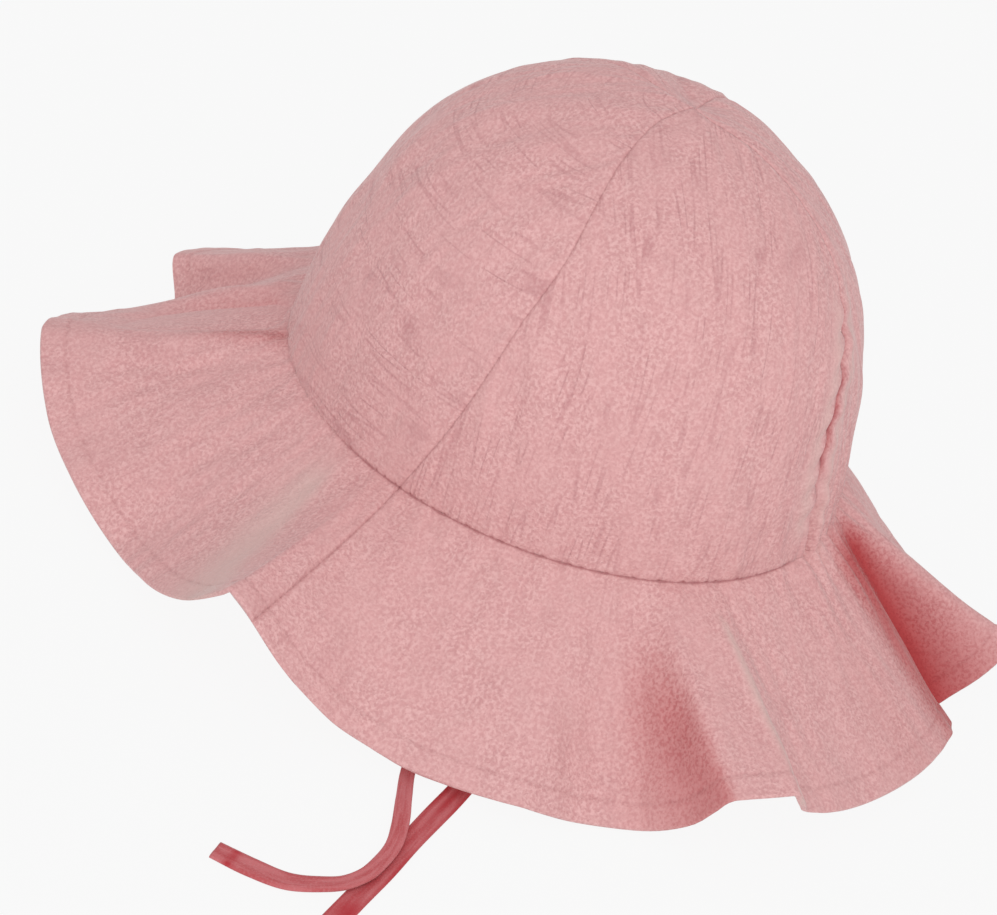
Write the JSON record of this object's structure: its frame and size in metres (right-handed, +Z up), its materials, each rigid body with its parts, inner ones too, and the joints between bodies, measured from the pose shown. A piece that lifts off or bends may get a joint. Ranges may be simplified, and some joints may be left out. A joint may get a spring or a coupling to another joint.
{
  "type": "sun hat",
  "caption": "Wide-brimmed sun hat of crinkled cotton: a domed crown of sewn panels gathered at the back, a wavy brim and flat ties.",
  "frame": {"origin": "under the middle of the brim's box, on the surface that the hat rests on", "axes": "+Z up; the wearer would face -Y, with the wearer's left at +X and the gathered back at +Y"},
  "size_m": [0.3129, 0.2853, 0.1465],
  "materials": {
    "crinkled_cotton_pink": "matte crinkled cotton",
    "tie_cotton_rose": "matte folded cotton"
  },
  "bodies": {
    "root": {"brim_back": "crinkled_cotton_pink", "brim_front": "crinkled_cotton_pink", "crown_panel_back_left": "crinkled_cotton_pink", "crown_panel_back_right": "crinkled_cotton_pink", "crown_panel_front_left": "crinkled_cotton_pink", "crown_panel_front_right": "crinkled_cotton_pink", "tie_left": "tie_cotton_rose", "tie_right": "tie_cotton_rose"}
  },
  "joints": []
}
